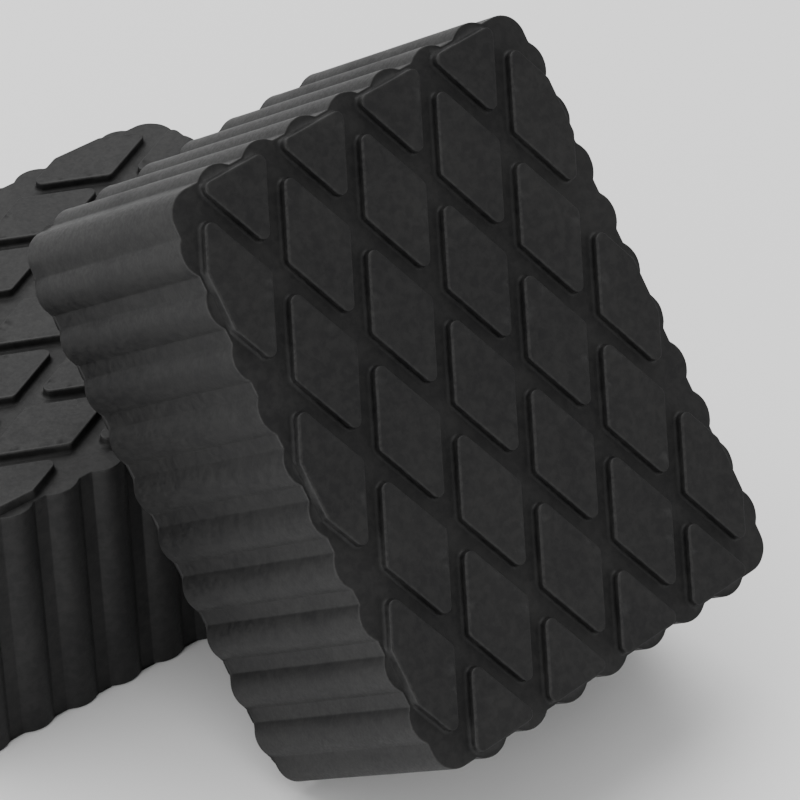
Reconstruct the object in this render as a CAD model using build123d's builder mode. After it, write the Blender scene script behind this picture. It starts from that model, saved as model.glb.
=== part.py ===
"""Two identical fluted rubber blocks: one lying flat, the other leaning against its long top edge.

Millimetres, +Z up. The origin is the middle of the lying block's underside. Its long side runs along X
and the leaning block stands in front of it, on the -Y side.
"""

from build123d import *
from math import cos, hypot, radians, sin
import os

os.makedirs("parts", exist_ok=True)

# Overall size of one block, over the crests of its flutes
LENGTH = 160.0
WIDTH = 120.0
THICKNESS = 73.5  # underside to the foot of the tread pads

# Flutes that run down all four sides
FLUTE_PITCH = 14.0
FLUTE_RADIUS = 7.4
FLUTE_DEPTH = 2.0  # crest to valley
CORNER_RADIUS = 7.0

# Tread: staggered rhombic pads, their long diagonals along the block
PAD_PITCH = 25.3  # between centres in a row, and from row to row
PAD_GAP = 4.5  # channel between facing pad edges
PAD_HEIGHT = 2.5
PAD_CORNER = 2.0  # corner radius in plan
PAD_EDGE = 0.5  # rounding of the top edge
TREAD_MARGIN = 3.0  # crests to the line where the outer pads are cut

# How the second block stands against the first
LEAN = 36.7  # degrees from upright
ASKEW = 4.9  # degrees that it is turned, seen from above
SIDE_STEP = 38.4  # its middle from the lying block's middle, along X
CLEARANCE = 0.3  # between its back and the flute crest that it leans on

# The side walls between the flutes lie on this smaller rectangle
valley_length = LENGTH - 2 * FLUTE_DEPTH
valley_width = WIDTH - 2 * FLUTE_DEPTH
long_side_flutes = int((valley_length - 2 * CORNER_RADIUS) / FLUTE_PITCH)
short_side_flutes = int((valley_width - 2 * CORNER_RADIUS) / FLUTE_PITCH)

# The outer pads are cut off along this rectangle
tread_half_length = LENGTH / 2 - TREAD_MARGIN
tread_half_width = WIDTH / 2 - TREAD_MARGIN

# A pad fills its rhombic cell less half the channel. Its core, which is offset outwards to round the
# corners, is smaller again by the corner radius.
cell_half_across = PAD_PITCH / 2
cell_inradius = cell_half_across * PAD_PITCH / hypot(cell_half_across, PAD_PITCH)
core_share = 1 - (PAD_GAP / 2 + PAD_CORNER) / cell_inradius
core_half_along = core_share * PAD_PITCH
core_half_across = core_share * cell_half_across


def pad_centres():
    """Centres of the pads in plan: rows across the block, every second row shifted by half a pitch."""
    last_row = int(tread_half_length / PAD_PITCH)
    last_step = int(tread_half_width / cell_half_across)
    return [
        (row * PAD_PITCH, step * cell_half_across)
        for row in range(-last_row, last_row + 1)
        for step in range(-last_step, last_step + 1)
        if (row + step) % 2 == 0
    ]


def rubber_block(underside):
    """One moulded block standing on a plane: its fluted body with the tread pads on top."""
    with BuildPart() as block:
        with BuildSketch(underside):
            RectangleRounded(valley_length, valley_width, CORNER_RADIUS)
            with GridLocations(FLUTE_PITCH, WIDTH - 2 * FLUTE_RADIUS, long_side_flutes, 2):
                Circle(FLUTE_RADIUS)
            with GridLocations(LENGTH - 2 * FLUTE_RADIUS, FLUTE_PITCH, 2, short_side_flutes):
                Circle(FLUTE_RADIUS)
        extrude(amount=THICKNESS)

        with BuildSketch(underside.offset(THICKNESS)):
            with Locations(*pad_centres()):
                Polygon(
                    (core_half_along, 0),
                    (0, core_half_across),
                    (-core_half_along, 0),
                    (0, -core_half_across),
                )
            Rectangle(
                2 * (tread_half_length - PAD_CORNER),
                2 * (tread_half_width - PAD_CORNER),
                mode=Mode.INTERSECT,
            )
            offset(amount=PAD_CORNER, kind=Kind.ARC)
        extrude(amount=PAD_HEIGHT)
        upwards = Axis(underside.origin, underside.z_dir)
        pad_tops = block.faces().group_by(upwards)[-1]
        fillet(pad_tops.edges(), PAD_EDGE)
    return block


def leaning_plane():
    """Underside of the leaning block: its lower edge on the floor, its back on the lying block's edge."""
    lean, askew = radians(LEAN), radians(ASKEW)
    up_the_slope = Vector(-sin(lean) * sin(askew), sin(lean) * cos(askew), cos(lean))
    outwards = Vector(cos(lean) * sin(askew), -cos(lean) * cos(askew), sin(lean))

    # It leans on the last flute of the lying block's front side. Along the outward direction, that
    # flute's crest lies this far from the origin.
    last_flute_x = (long_side_flutes - 1) / 2 * FLUTE_PITCH
    last_flute_y = WIDTH / 2 - FLUTE_RADIUS
    crest_reach = last_flute_x * sin(askew) + last_flute_y * cos(askew) + FLUTE_RADIUS
    back_distance = crest_reach * cos(lean) + THICKNESS * sin(lean) + CLEARANCE

    middle_x = SIDE_STEP
    middle_z = LENGTH / 2 * cos(lean)
    middle_y = (middle_x * outwards.X + middle_z * outwards.Z - back_distance) / -outwards.Y
    return Plane(Vector(middle_x, middle_y, middle_z), x_dir=up_the_slope, z_dir=outwards)


lying_block = rubber_block(Plane.XY)
lying_block.part.label = "lying_block"
export_step(lying_block.part, "parts/lying_block.step")

leaning_block = rubber_block(leaning_plane())
leaning_block.part.label = "leaning_block"
export_step(leaning_block.part, "parts/leaning_block.step")
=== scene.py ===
"""Two moulded rubber support blocks, one lying flat and one leaning on it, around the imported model.

Every block is one closed mesh in its own frame: millimetres while it is worked out and metres in Blender,
X along its long side, Y along its short side, Z from its underside to its tread.
"""

import math

import bpy
import numpy as np
from mathutils import Euler, Matrix, Vector, noise
from mathutils.geometry import delaunay_2d_cdt


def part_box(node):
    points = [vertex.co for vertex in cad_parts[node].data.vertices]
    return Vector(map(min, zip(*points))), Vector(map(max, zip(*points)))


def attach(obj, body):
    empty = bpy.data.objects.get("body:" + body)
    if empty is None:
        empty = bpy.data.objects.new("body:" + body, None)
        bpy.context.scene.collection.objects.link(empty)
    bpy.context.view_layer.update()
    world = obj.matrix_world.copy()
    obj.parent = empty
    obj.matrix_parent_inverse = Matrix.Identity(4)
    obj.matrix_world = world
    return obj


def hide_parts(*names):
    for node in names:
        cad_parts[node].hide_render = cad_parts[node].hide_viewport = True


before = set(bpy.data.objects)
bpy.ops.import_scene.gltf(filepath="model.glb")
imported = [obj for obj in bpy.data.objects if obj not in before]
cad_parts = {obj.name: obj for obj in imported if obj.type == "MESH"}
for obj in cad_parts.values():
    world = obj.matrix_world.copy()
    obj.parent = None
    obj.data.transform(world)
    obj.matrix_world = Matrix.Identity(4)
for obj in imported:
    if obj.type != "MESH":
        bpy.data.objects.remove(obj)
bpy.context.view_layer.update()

MM = 0.001

# ---------------------------------------------------------------- sizes, in millimetres

PAD_HEIGHT = 2.5
lying_low, lying_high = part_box("lying_block")
LENGTH = (lying_high.x - lying_low.x) / MM
WIDTH = (lying_high.y - lying_low.y) / MM
THICKNESS = (lying_high.z - lying_low.z) / MM - PAD_HEIGHT

FLUTE_PITCH = 14.0
FLUTE_RADIUS = 7.4
FLUTE_DEPTH = 2.0
CORNER_RADIUS = 7.0
CREASE = 0.14  # softness of the crease between a flute and its valley
RIM = 0.35  # rounding where the walls meet the tread
HEEL = 0.5  # rounding where the walls meet the underside

RIM_RAGGED = 0.12  # how far the rim wanders in and out
RIM_TEAR = 2.2  # length of that wandering, along the wall
RIM_MARGIN = 0.08  # from the end of the rounded rim to where the tread's mesh starts

FLASH_OUT = 0.7  # mould flash left in the valleys, along the underside
FLASH_THICK = 0.6
FLASH_TEAR = 5.0  # length of its tears, along the wall
FLASH_END = 0.5  # it fades out where a flute stands this far out of the valley
FLASH_CORNER = 10.0  # and there is none this close to a corner

PAD_PITCH = 25.3
PAD_GAP = 4.5
PAD_CORNER = 2.0
PAD_EDGE = 0.6  # rounding of the top edge where it is rubbed most
PAD_SHARP = 0.45  # share of that rounding where it isn't rubbed
PAD_MARGIN = 0.35  # from the end of the rounded edge to where the flat top's mesh starts
PAD_DRAFT = 0.05  # how far its wall leans out, down to the hollow at its foot
PAD_FOOT = 0.85  # hollow where a pad's wall runs out into the channel
PAD_LEDGE = 0.2  # how far that hollow may run over the line where the outer pads are cut
TREAD_MARGIN = 3.0

LEAN = math.radians(36.7)
ASKEW = math.radians(4.9)
SIDE_STEP = 38.4
CLEARANCE = 0.3

ARC_STEP = 0.9  # mesh spacing along a flute
WALL_STEP = 2.9  # up the walls
FACE_STEP = 2.6  # over the tread and the pad tops
BASE_STEP = 6.0  # over the underside

WAVE = 0.16  # how far the moulded faces wander inwards
WAVE_SLOW = 30.0  # size of the broad waves and of the small ones
WAVE_QUICK = 7.0
WAVE_FADE = 4.0  # height over the underside at which they reach full depth

# Linear colours of the rubber: its darkest and palest mottling, and its pale edges, from wear and, along
# one side of the pads, a painted highlight
DARK = (0.0040, 0.0040, 0.0044, 1)
PALE = (0.0140, 0.0139, 0.0136, 1)
RIM_WEAR_AND_HIGHLIGHT = (0.034, 0.0338, 0.0332, 1)


# ---------------------------------------------------------------- plan shapes


def flute_profile():
    """One pitch of a fluted side: places along it, and how far each stands out of the valley."""
    reach = math.sqrt(FLUTE_RADIUS**2 - (FLUTE_RADIUS - FLUTE_DEPTH) ** 2)
    half = FLUTE_PITCH / 2
    near_crease = reach + CREASE * np.array([2.4, 1.2, 0.0, -1.2, -2.4])
    inner = near_crease[-1]
    crest = np.linspace(-inner, inner, 2 * round(inner / ARC_STEP) + 1)
    places = np.concatenate([[-half], -near_crease, crest[1:-1], near_crease[::-1]])

    spread = np.linspace(-3, 3, 41)
    weights = np.exp(-(spread**2) / 2)
    around = (places[:, None] + CREASE * spread + half) % FLUTE_PITCH - half
    round_part = np.sqrt(np.maximum(FLUTE_RADIUS**2 - around**2, 0))
    height = np.maximum(round_part - (FLUTE_RADIUS - FLUTE_DEPTH), 0)
    return places, height @ weights / weights.sum()


def block_outline():
    """The closed plan outline, anticlockwise: points, and how far each stands out of the valleys."""
    places, heights = flute_profile()
    half_valley = (LENGTH / 2 - FLUTE_DEPTH, WIDTH / 2 - FLUTE_DEPTH)
    points, stand = [], []
    for quarter in range(4):
        out, run = half_valley if quarter % 2 == 0 else half_valley[::-1]
        count = int((2 * run - 2 * CORNER_RADIUS) / FLUTE_PITCH)
        side = []
        for i in range(count):
            middle = (i - (count - 1) / 2) * FLUTE_PITCH
            side += [(out + h, middle + p) for p, h in zip(places, heights)]
            stand += list(heights)
        side.append((out, count / 2 * FLUTE_PITCH))
        for turn in np.linspace(0, math.pi / 2, 13):
            x = out - CORNER_RADIUS * (1 - math.cos(turn))
            y = run - CORNER_RADIUS * (1 - math.sin(turn))
            side.append((x, y))
        stand += [0.0] * 14
        c, s = round(math.cos(quarter * math.pi / 2)), round(math.sin(quarter * math.pi / 2))
        points += [(c * x - s * y, s * x + c * y) for x, y in side]
    return np.array(points), np.array(stand)


def outward_normals(points):
    """Unit normals of an anticlockwise closed line, to the outside."""
    ahead = np.roll(points, -1, 0) - points
    ahead /= np.linalg.norm(ahead, axis=1)[:, None]
    along = ahead + np.roll(ahead, 1, 0)
    along /= np.linalg.norm(along, axis=1)[:, None]
    return np.stack([along[:, 1], -along[:, 0]], 1)


def clipped(polygon, axis, limit, sign):
    """The part of a convex polygon where sign * coordinate is at most limit."""
    kept = []
    for a, b in zip(polygon, polygon[1:] + polygon[:1]):
        da, db = limit - sign * a[axis], limit - sign * b[axis]
        if da >= 0:
            kept.append(a)
        if da * db < 0:
            t = da / (da - db)
            kept.append((a[0] + t * (b[0] - a[0]), a[1] + t * (b[1] - a[1])))
    return kept


def pad_cores():
    """The core of each tread pad, anticlockwise. A pad is its core, offset outwards by PAD_CORNER."""
    half_across = PAD_PITCH / 2
    inradius = half_across * PAD_PITCH / math.hypot(half_across, PAD_PITCH)
    share = 1 - (PAD_GAP / 2 + PAD_CORNER) / inradius
    along, across = share * PAD_PITCH, share * half_across
    half_length, half_width = LENGTH / 2 - TREAD_MARGIN, WIDTH / 2 - TREAD_MARGIN
    last_row, last_step = int(half_length / PAD_PITCH), int(half_width / half_across)
    cores = []
    for row in range(-last_row, last_row + 1):
        for step in range(-last_step, last_step + 1):
            if (row + step) % 2:
                continue
            x, y = row * PAD_PITCH, step * half_across
            core = [(x + along, y), (x, y + across), (x - along, y), (x, y - across)]
            for sign in (1, -1):
                core = clipped(core, 0, half_length - PAD_CORNER, sign)
                core = clipped(core, 1, half_width - PAD_CORNER, sign)
            cores.append(core)
    return cores


def around_core(core):
    """Points around a convex polygon and the direction in which each is offset, fanned at the corners."""
    core = np.array(core)
    ahead = np.roll(core, -1, 0) - core
    angles = np.arctan2(-ahead[:, 0], ahead[:, 1])
    points, directions = [], []
    for k, corner in enumerate(core):
        before, after = angles[k - 1], angles[k]
        turn = (after - before) % (2 * math.pi)
        for a in np.linspace(before, before + turn, max(2, math.ceil(turn / 0.3)) + 1):
            points.append(corner)
            directions.append((math.cos(a), math.sin(a)))
        pieces = max(1, round(np.linalg.norm(ahead[k]) / 1.6))
        for t in np.arange(1, pieces) / pieces:
            points.append(corner + t * ahead[k])
            directions.append((math.cos(after), math.sin(after)))
    return np.array(points), np.array(directions)


# ---------------------------------------------------------------- mesh building


def inside(points, polygon):
    """Which points lie inside a closed polygon."""
    x, y = points[:, :1], points[:, 1:]
    x0, y0 = polygon[:, 0], polygon[:, 1]
    x1, y1 = np.roll(x0, -1), np.roll(y0, -1)
    crosses = (y0 > y) != (y1 > y)
    rise = np.where(y1 == y0, 1e-12, y1 - y0)
    return (crosses & (x < x0 + (y - y0) * (x1 - x0) / rise)).sum(1) % 2 == 1


class Shell:
    """A closed mesh while it is put together, in millimetres."""

    def __init__(self):
        self.points, self.faces, self.wear_and_highlight = [], [], []

    def ring(self, plan, z, wear_and_highlight=0.0):
        start = len(self.points)
        heights = np.broadcast_to(z, len(plan))
        self.points += [(x, y, h) for (x, y), h in zip(plan, heights)]
        self.wear_and_highlight += list(np.broadcast_to(wear_and_highlight, len(plan)))
        return list(range(start, start + len(plan)))

    def join(self, low, high):
        for i in range(len(low)):
            self.faces.append((low[i - 1], low[i], high[i], high[i - 1]))

    def fill(self, outer, holes, step, z, facing):
        """Triangles over the flat area between the ring outer and the rings holes."""
        rings = [outer, *holes]
        border = [i for ring in rings for i in ring]
        plans = [np.array([self.points[i][:2] for i in ring]) for ring in rings]
        edge = np.concatenate(plans)
        low, high = plans[0].min(0), plans[0].max(0)
        rows = np.arange(low[1] + step / 2, high[1], step * 0.866)
        grid = np.array([
            (x + (step / 2 if k % 2 else 0), y)
            for k, y in enumerate(rows)
            for x in np.arange(low[0] + step / 3, high[0], step)
        ])
        far = np.concatenate([
            ((part[:, None] - edge) ** 2).sum(2).min(1) > (0.5 * step) ** 2
            for part in np.array_split(grid, max(1, len(grid) // 400))
        ])
        keep = far & inside(grid, plans[0])
        for plan in plans[1:]:
            keep &= ~inside(grid, plan)
        grid = grid[keep]
        index = border + self.ring(grid, z)

        bonds, first = [], 0
        for ring in rings:
            n = len(ring)
            bonds += [(first + i, first + (i + 1) % n) for i in range(n)]
            first += n
        places = [Vector(p) for p in np.concatenate([edge, grid])]
        found = delaunay_2d_cdt(places, bonds, [], 0, 1e-6, True)
        plan = np.array([tuple(v) for v in found[0]])
        triangles = np.array([tuple(t) for t in found[2]])
        a, b, c = (plan[triangles[:, k]] for k in range(3))
        middle = (a + b + c) / 3
        keep = inside(middle, plans[0])
        for hole in plans[1:]:
            keep &= ~inside(middle, hole)
        area = (b[:, 0] - a[:, 0]) * (c[:, 1] - a[:, 1]) - (b[:, 1] - a[:, 1]) * (c[:, 0] - a[:, 0])
        for corners, size, kept in zip(triangles, area, keep):
            if kept:
                face = [index[found[3][v][0]] for v in corners]
                self.faces.append(tuple(face if size * facing > 0 else face[::-1]))


def add_walls(shell, seed):
    """The fluted walls with their flash and rounded rims. Returns the lowest and highest ring."""
    plan, stand = block_outline()
    normal = outward_normals(plan)
    run = np.cumsum(np.linalg.norm(np.roll(plan, -1, 0) - plan, axis=1))

    near_end = np.abs(plan[:, 0]) > LENGTH / 2 - FLASH_CORNER
    near_side = np.abs(plan[:, 1]) > WIDTH / 2 - FLASH_CORNER
    valley = np.clip(1 - stand / FLASH_END, 0, 1) * ~(near_end & near_side)
    tear = np.array([noise.noise((s / FLASH_TEAR, seed, 0.0)) for s in run])
    flash = FLASH_OUT * valley * (0.8 + 0.5 * tear)
    ragged = np.array([noise.noise((s / RIM_TEAR, seed, 7.0)) for s in run]) * RIM_RAGGED

    def ring(z, out, wear_and_highlight=0.0):
        return shell.ring(plan + normal * np.reshape(out, (-1, 1)), z, wear_and_highlight)

    rings = [ring(0, flash - HEEL), ring(HEEL, flash)]
    for above, share in ((-0.1, 1.0), (0.0, 0.8), (0.12, 0.1)):
        rings.append(ring(FLASH_THICK + above, flash * share))
    top = THICKNESS - RIM
    levels = np.linspace(FLASH_THICK + 0.5, top - 0.5, round((top - FLASH_THICK) / WALL_STEP))
    rings += [ring(z, 0.0) for z in levels]
    for turn in np.linspace(0, math.pi / 2, 5):
        out = -RIM * (1 - math.cos(turn)) + ragged * math.sin(turn)
        rings.append(ring(top + RIM * math.sin(turn), np.minimum(out, 0), 0.4 + 0.6 * math.sin(2 * turn)))
    rings.append(ring(THICKNESS, ragged - RIM - RIM_MARGIN))
    for low, high in zip(rings, rings[1:]):
        shell.join(low, high)
    return rings[0], rings[-1]


def add_pad(shell, core, shift, wear_and_highlight_side):
    """One tread pad with a hollow at its foot and a rounded top edge. Returns its foot ring.

    The edges that face the given side are rounder, and paler from wear and as a painted highlight. The
    shift, about -1 to 1, varies the rounding from pad to pad.
    """
    points, directions = around_core(core)
    rubbed_and_highlit = np.clip(directions @ np.array(wear_and_highlight_side), 0, 1)
    edge = PAD_EDGE * (1 + 0.15 * shift) * (PAD_SHARP + (1 - PAD_SHARP) * rubbed_and_highlit)
    top = THICKNESS + PAD_HEIGHT
    limit = np.array([LENGTH, WIDTH]) / 2 - TREAD_MARGIN + PAD_LEDGE

    def ring(grow, z, wear_and_highlight=0.0):
        plan = points + directions * np.reshape(PAD_CORNER + grow, (-1, 1))
        return shell.ring(np.clip(plan, -limit, limit), z, wear_and_highlight)

    rings = []
    for turn in np.linspace(0, math.pi / 2, 6):
        grow = PAD_DRAFT + PAD_FOOT * (1 - math.sin(turn))
        rings.append(ring(grow, THICKNESS + PAD_FOOT * (1 - math.cos(turn))))
    # The rounded top edge: rounder on the given side, and paler there from wear and as a painted highlight.
    for turn in np.linspace(0, math.pi / 2, 5):
        height = top - edge + edge * math.sin(turn)
        rings.append(ring(-edge * (1 - math.cos(turn)), height, rubbed_and_highlit * (0.3 + 0.7 * math.sin(turn))))
    rings.append(ring(-edge - PAD_MARGIN, top))
    for low, high in zip(rings, rings[1:]):
        shell.join(low, high)
    shell.fill(rings[-1], [], FACE_STEP, top, 1)
    return rings[0]


def block_mesh(name, seed, wear_and_highlight_side):
    """The whole block as one closed, smooth-shaded mesh in its own frame, in metres."""
    shell = Shell()
    heel, rim = add_walls(shell, seed)
    shell.fill(heel, [], BASE_STEP, 0.0, -1)
    feet = []
    for k, core in enumerate(pad_cores()):
        feet.append(add_pad(shell, core, noise.noise((k * 3.7, seed, 0.5)), wear_and_highlight_side))
    shell.fill(rim, feet, FACE_STEP, THICKNESS, 1)

    mesh = bpy.data.meshes.new(name)
    mesh.from_pydata([(x * MM, y * MM, z * MM) for x, y, z in shell.points], [], shell.faces)
    mesh.update()

    # Moulded rubber is never quite flat: every face wanders inwards a little, and the underside stays true.
    moved = []
    for vertex in mesh.vertices:
        place = vertex.co / MM
        slow = noise.noise(place / WAVE_SLOW + Vector((seed, 0, 0)))
        quick = noise.noise(place / WAVE_QUICK + Vector((0, seed, 0)))
        depth = WAVE * (0.5 + 0.38 * slow + 0.12 * quick) * min(1.0, place.z / WAVE_FADE)
        moved.append(vertex.co - vertex.normal * depth * MM)
    mesh.vertices.foreach_set("co", np.array(moved).ravel())
    # Paleness per vertex: wear along the walls' rims, and wear plus a painted highlight along the pads' top
    # edges on one side.
    wear_and_highlight = mesh.attributes.new("wear_and_highlight", "FLOAT", "POINT")
    wear_and_highlight.data.foreach_set("value", np.array(shell.wear_and_highlight, np.float32))
    mesh.polygons.foreach_set("use_smooth", [True] * len(mesh.polygons))
    mesh.update()
    return mesh


# ---------------------------------------------------------------- rubber


def rubber(name, seed):
    """Matt black moulded rubber: mottled, finely grained, smudged, and paler along its rims from wear, with
    a painted highlight along one side of the pads' edges.
    """
    material = bpy.data.materials.new(name)
    material.use_nodes = True
    tree = material.node_tree
    nodes, links = tree.nodes, tree.links
    shader = nodes["Principled BSDF"]
    shader.inputs["Specular IOR Level"].default_value = 0.28

    place = nodes.new("ShaderNodeTexCoord")
    shifted = nodes.new("ShaderNodeMapping")
    shifted.inputs["Location"].default_value = (seed, seed * 0.37, seed * 0.71)
    links.new(place.outputs["Object"], shifted.inputs["Vector"])

    def cloud(scale, detail, roughness=0.5, distortion=0.0):
        made = nodes.new("ShaderNodeTexNoise")
        made.inputs["Scale"].default_value = scale
        made.inputs["Detail"].default_value = detail
        made.inputs["Roughness"].default_value = roughness
        made.inputs["Distortion"].default_value = distortion
        links.new(shifted.outputs["Vector"], made.inputs["Vector"])
        return made.outputs["Fac"]

    def ranged(value, low, high, to_low, to_high):
        made = nodes.new("ShaderNodeMapRange")
        made.interpolation_type = "SMOOTHSTEP"
        ends = {"From Min": low, "From Max": high, "To Min": to_low, "To Max": to_high}
        for socket, number in ends.items():
            made.inputs[socket].default_value = number
        links.new(value, made.inputs["Value"])
        return made.outputs["Result"]

    def combined(operation, first, second):
        made = nodes.new("ShaderNodeMath")
        made.operation = operation
        for socket, value in zip(made.inputs, (first, second)):
            if isinstance(value, (int, float)):
                socket.default_value = value
            else:
                links.new(value, socket)
        return made.outputs["Value"]

    # Broad mottling, flecks, specks and smudges colour it, and grain and pitting roughen it. The first
    # number is how many features there are to a metre.
    mottle = cloud(38, 6, 0.6, 0.5)
    fleck = cloud(420, 4, 0.6, 0.3)
    speckle = cloud(1100, 3, 0.6)
    smudge = ranged(cloud(24, 5, 0.6, 1.2), 0.52, 0.72, 0.0, 1.0)
    grain = cloud(1900, 4, 0.6)
    pitting = cloud(420, 3, 0.55)
    wear_and_highlight = nodes.new("ShaderNodeAttribute")
    wear_and_highlight.attribute_name = "wear_and_highlight"

    tone = combined("MULTIPLY", ranged(mottle, 0.34, 0.68, 0.0, 1.0), 0.30)
    tone = combined("ADD", tone, combined("MULTIPLY", ranged(fleck, 0.34, 0.66, 0.0, 1.0), 0.45))
    tone = combined("ADD", tone, combined("MULTIPLY", ranged(speckle, 0.3, 0.7, 0.0, 1.0), 0.25))
    colour = nodes.new("ShaderNodeValToRGB")
    colour.color_ramp.elements[0].position = 0.1
    colour.color_ramp.elements[0].color = DARK
    colour.color_ramp.elements[1].position = 0.9
    colour.color_ramp.elements[1].color = PALE
    links.new(tone, colour.inputs["Fac"])

    # Paler rims: wear, and on one side of the pads also a painted highlight.
    lighter = nodes.new("ShaderNodeMix")
    lighter.data_type = "RGBA"
    lighter.inputs["B"].default_value = RIM_WEAR_AND_HIGHLIGHT
    amount = combined("MULTIPLY", wear_and_highlight.outputs["Fac"], ranged(speckle, 0.3, 0.7, 0.15, 0.6))
    links.new(amount, lighter.inputs["Factor"])
    links.new(colour.outputs["Color"], lighter.inputs["A"])
    links.new(lighter.outputs["Result"], shader.inputs["Base Color"])

    gloss = ranged(speckle, 0.25, 0.75, 0.50, 0.64)
    gloss = combined("ADD", gloss, combined("MULTIPLY", smudge, 0.08))
    gloss = combined("SUBTRACT", gloss, combined("MULTIPLY", wear_and_highlight.outputs["Fac"], 0.04))
    links.new(gloss, shader.inputs["Roughness"])

    relief = combined("ADD", combined("MULTIPLY", grain, 0.45), combined("MULTIPLY", pitting, 0.55))
    bump = nodes.new("ShaderNodeBump")
    bump.inputs["Strength"].default_value = 0.6
    bump.inputs["Distance"].default_value = 0.00008
    links.new(relief, bump.inputs["Height"])
    links.new(bump.outputs["Normal"], shader.inputs["Normal"])
    return material


# ---------------------------------------------------------------- the two blocks


def leaning_place():
    """Where the leaning block's own frame lies, as in the CAD: on its lower edge, back against a flute."""
    up_the_slope = Vector((
        -math.sin(LEAN) * math.sin(ASKEW), math.sin(LEAN) * math.cos(ASKEW), math.cos(LEAN)
    ))
    outwards = Vector((
        math.cos(LEAN) * math.sin(ASKEW), -math.cos(LEAN) * math.cos(ASKEW), math.sin(LEAN)
    ))
    sideways = outwards.cross(up_the_slope)
    flutes = int((LENGTH - 2 * FLUTE_DEPTH - 2 * CORNER_RADIUS) / FLUTE_PITCH)
    last_x, last_y = (flutes - 1) / 2 * FLUTE_PITCH, WIDTH / 2 - FLUTE_RADIUS
    crest = last_x * math.sin(ASKEW) + last_y * math.cos(ASKEW) + FLUTE_RADIUS
    back = crest * math.cos(LEAN) + THICKNESS * math.sin(LEAN) + CLEARANCE
    x, z = SIDE_STEP, LENGTH / 2 * math.cos(LEAN)
    y = (x * outwards.x + z * outwards.z - back) / -outwards.y
    turn = Matrix((up_the_slope, sideways, outwards)).transposed().to_4x4()
    return Matrix.Translation(Vector((x, y, z)) * MM) @ turn


def place_block(name, seed, wear_and_highlight_side, place, body, node):
    """Build one block at its place in the scene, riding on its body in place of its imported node."""
    mesh = block_mesh(name, seed, wear_and_highlight_side)
    mesh.transform(place)
    block = bpy.data.objects.new(name, mesh)
    bpy.context.scene.collection.objects.link(block)
    block.data.materials.append(rubber(name + "_rubber", seed))
    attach(block, body)
    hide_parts(node)
    return block


# Each block's pads are rounder and paler on the given side, where their rims are bright: that paleness is
# wear and a painted highlight.
place_block("lying_rubber_block", 2.3, (-0.45, -0.89), Matrix.Identity(4), "lying", "lying_block")
place_block("leaning_rubber_block", 7.9, (0.45, 0.89), leaning_place(), "leaning", "leaning_block")


# ---------------------------------------------------------------- floor, light and camera


def make_floor():
    half = 6.0  # metres
    corners = [(-half, -half, 0), (half, -half, 0), (half, half, 0), (-half, half, 0)]
    mesh = bpy.data.meshes.new("studio_floor")
    mesh.from_pydata(corners, [], [(0, 1, 2, 3)])
    floor = bpy.data.objects.new("studio_floor", mesh)
    bpy.context.scene.collection.objects.link(floor)
    material = bpy.data.materials.new("pale_paper")
    material.use_nodes = True
    shader = material.node_tree.nodes["Principled BSDF"]
    shader.inputs["Base Color"].default_value = (0.90, 0.90, 0.90, 1)
    shader.inputs["Roughness"].default_value = 0.9
    shader.inputs["Specular IOR Level"].default_value = 0.1
    mesh.materials.append(material)


def add_light(name, kind, towards, power, **settings):
    """A light whose rays travel along towards."""
    light = bpy.data.lights.new(name, kind)
    light.energy = power
    for key, value in settings.items():
        setattr(light, key, value)
    holder = bpy.data.objects.new(name, light)
    holder.rotation_mode = "QUATERNION"
    holder.rotation_quaternion = Vector(towards).to_track_quat("-Z", "Y")
    bpy.context.scene.collection.objects.link(holder)
    return holder


make_floor()

# Most of the light is broad and falls from above and behind. A weak light low on the left opens the shadows
# on the sides that face it.
add_light("overhead_behind", "SUN", (-0.06, -0.50, -1.0), 2.9, angle=math.radians(70))
low_fill = add_light("low_left_fill", "AREA", (0.80, 0.30, -0.15), 4.2, size=0.5)
low_fill.location = (-0.84, -0.25, 0.17)
low_fill.visible_camera = False

world = bpy.data.worlds.new("studio")
world.use_nodes = True
world.node_tree.nodes["Background"].inputs["Color"].default_value = (1, 1, 1, 1)
world.node_tree.nodes["Background"].inputs["Strength"].default_value = 0.78
bpy.context.scene.world = world

# The photograph's viewing angle: a long lens, from the front and above, a little off level
AIM = Vector((47.41, -90.8, 78.79)) * MM
DISTANCE = 1.1379
AZIMUTH, ELEVATION, ROLL = (math.radians(a) for a in (-37.46, 38.72, -1.72))

camera = bpy.data.cameras.new("camera")
camera.sensor_width = 36.0
camera.lens = 200.6
viewer = bpy.data.objects.new("camera", camera)
turn = Euler((math.pi / 2 - ELEVATION, 0, AZIMUTH)).to_matrix() @ Euler((0, 0, ROLL)).to_matrix()
viewer.matrix_world = Matrix.Translation(AIM + turn @ Vector((0, 0, DISTANCE))) @ turn.to_4x4()
camera.clip_end = 20
bpy.context.scene.collection.objects.link(viewer)
bpy.context.scene.camera = viewer
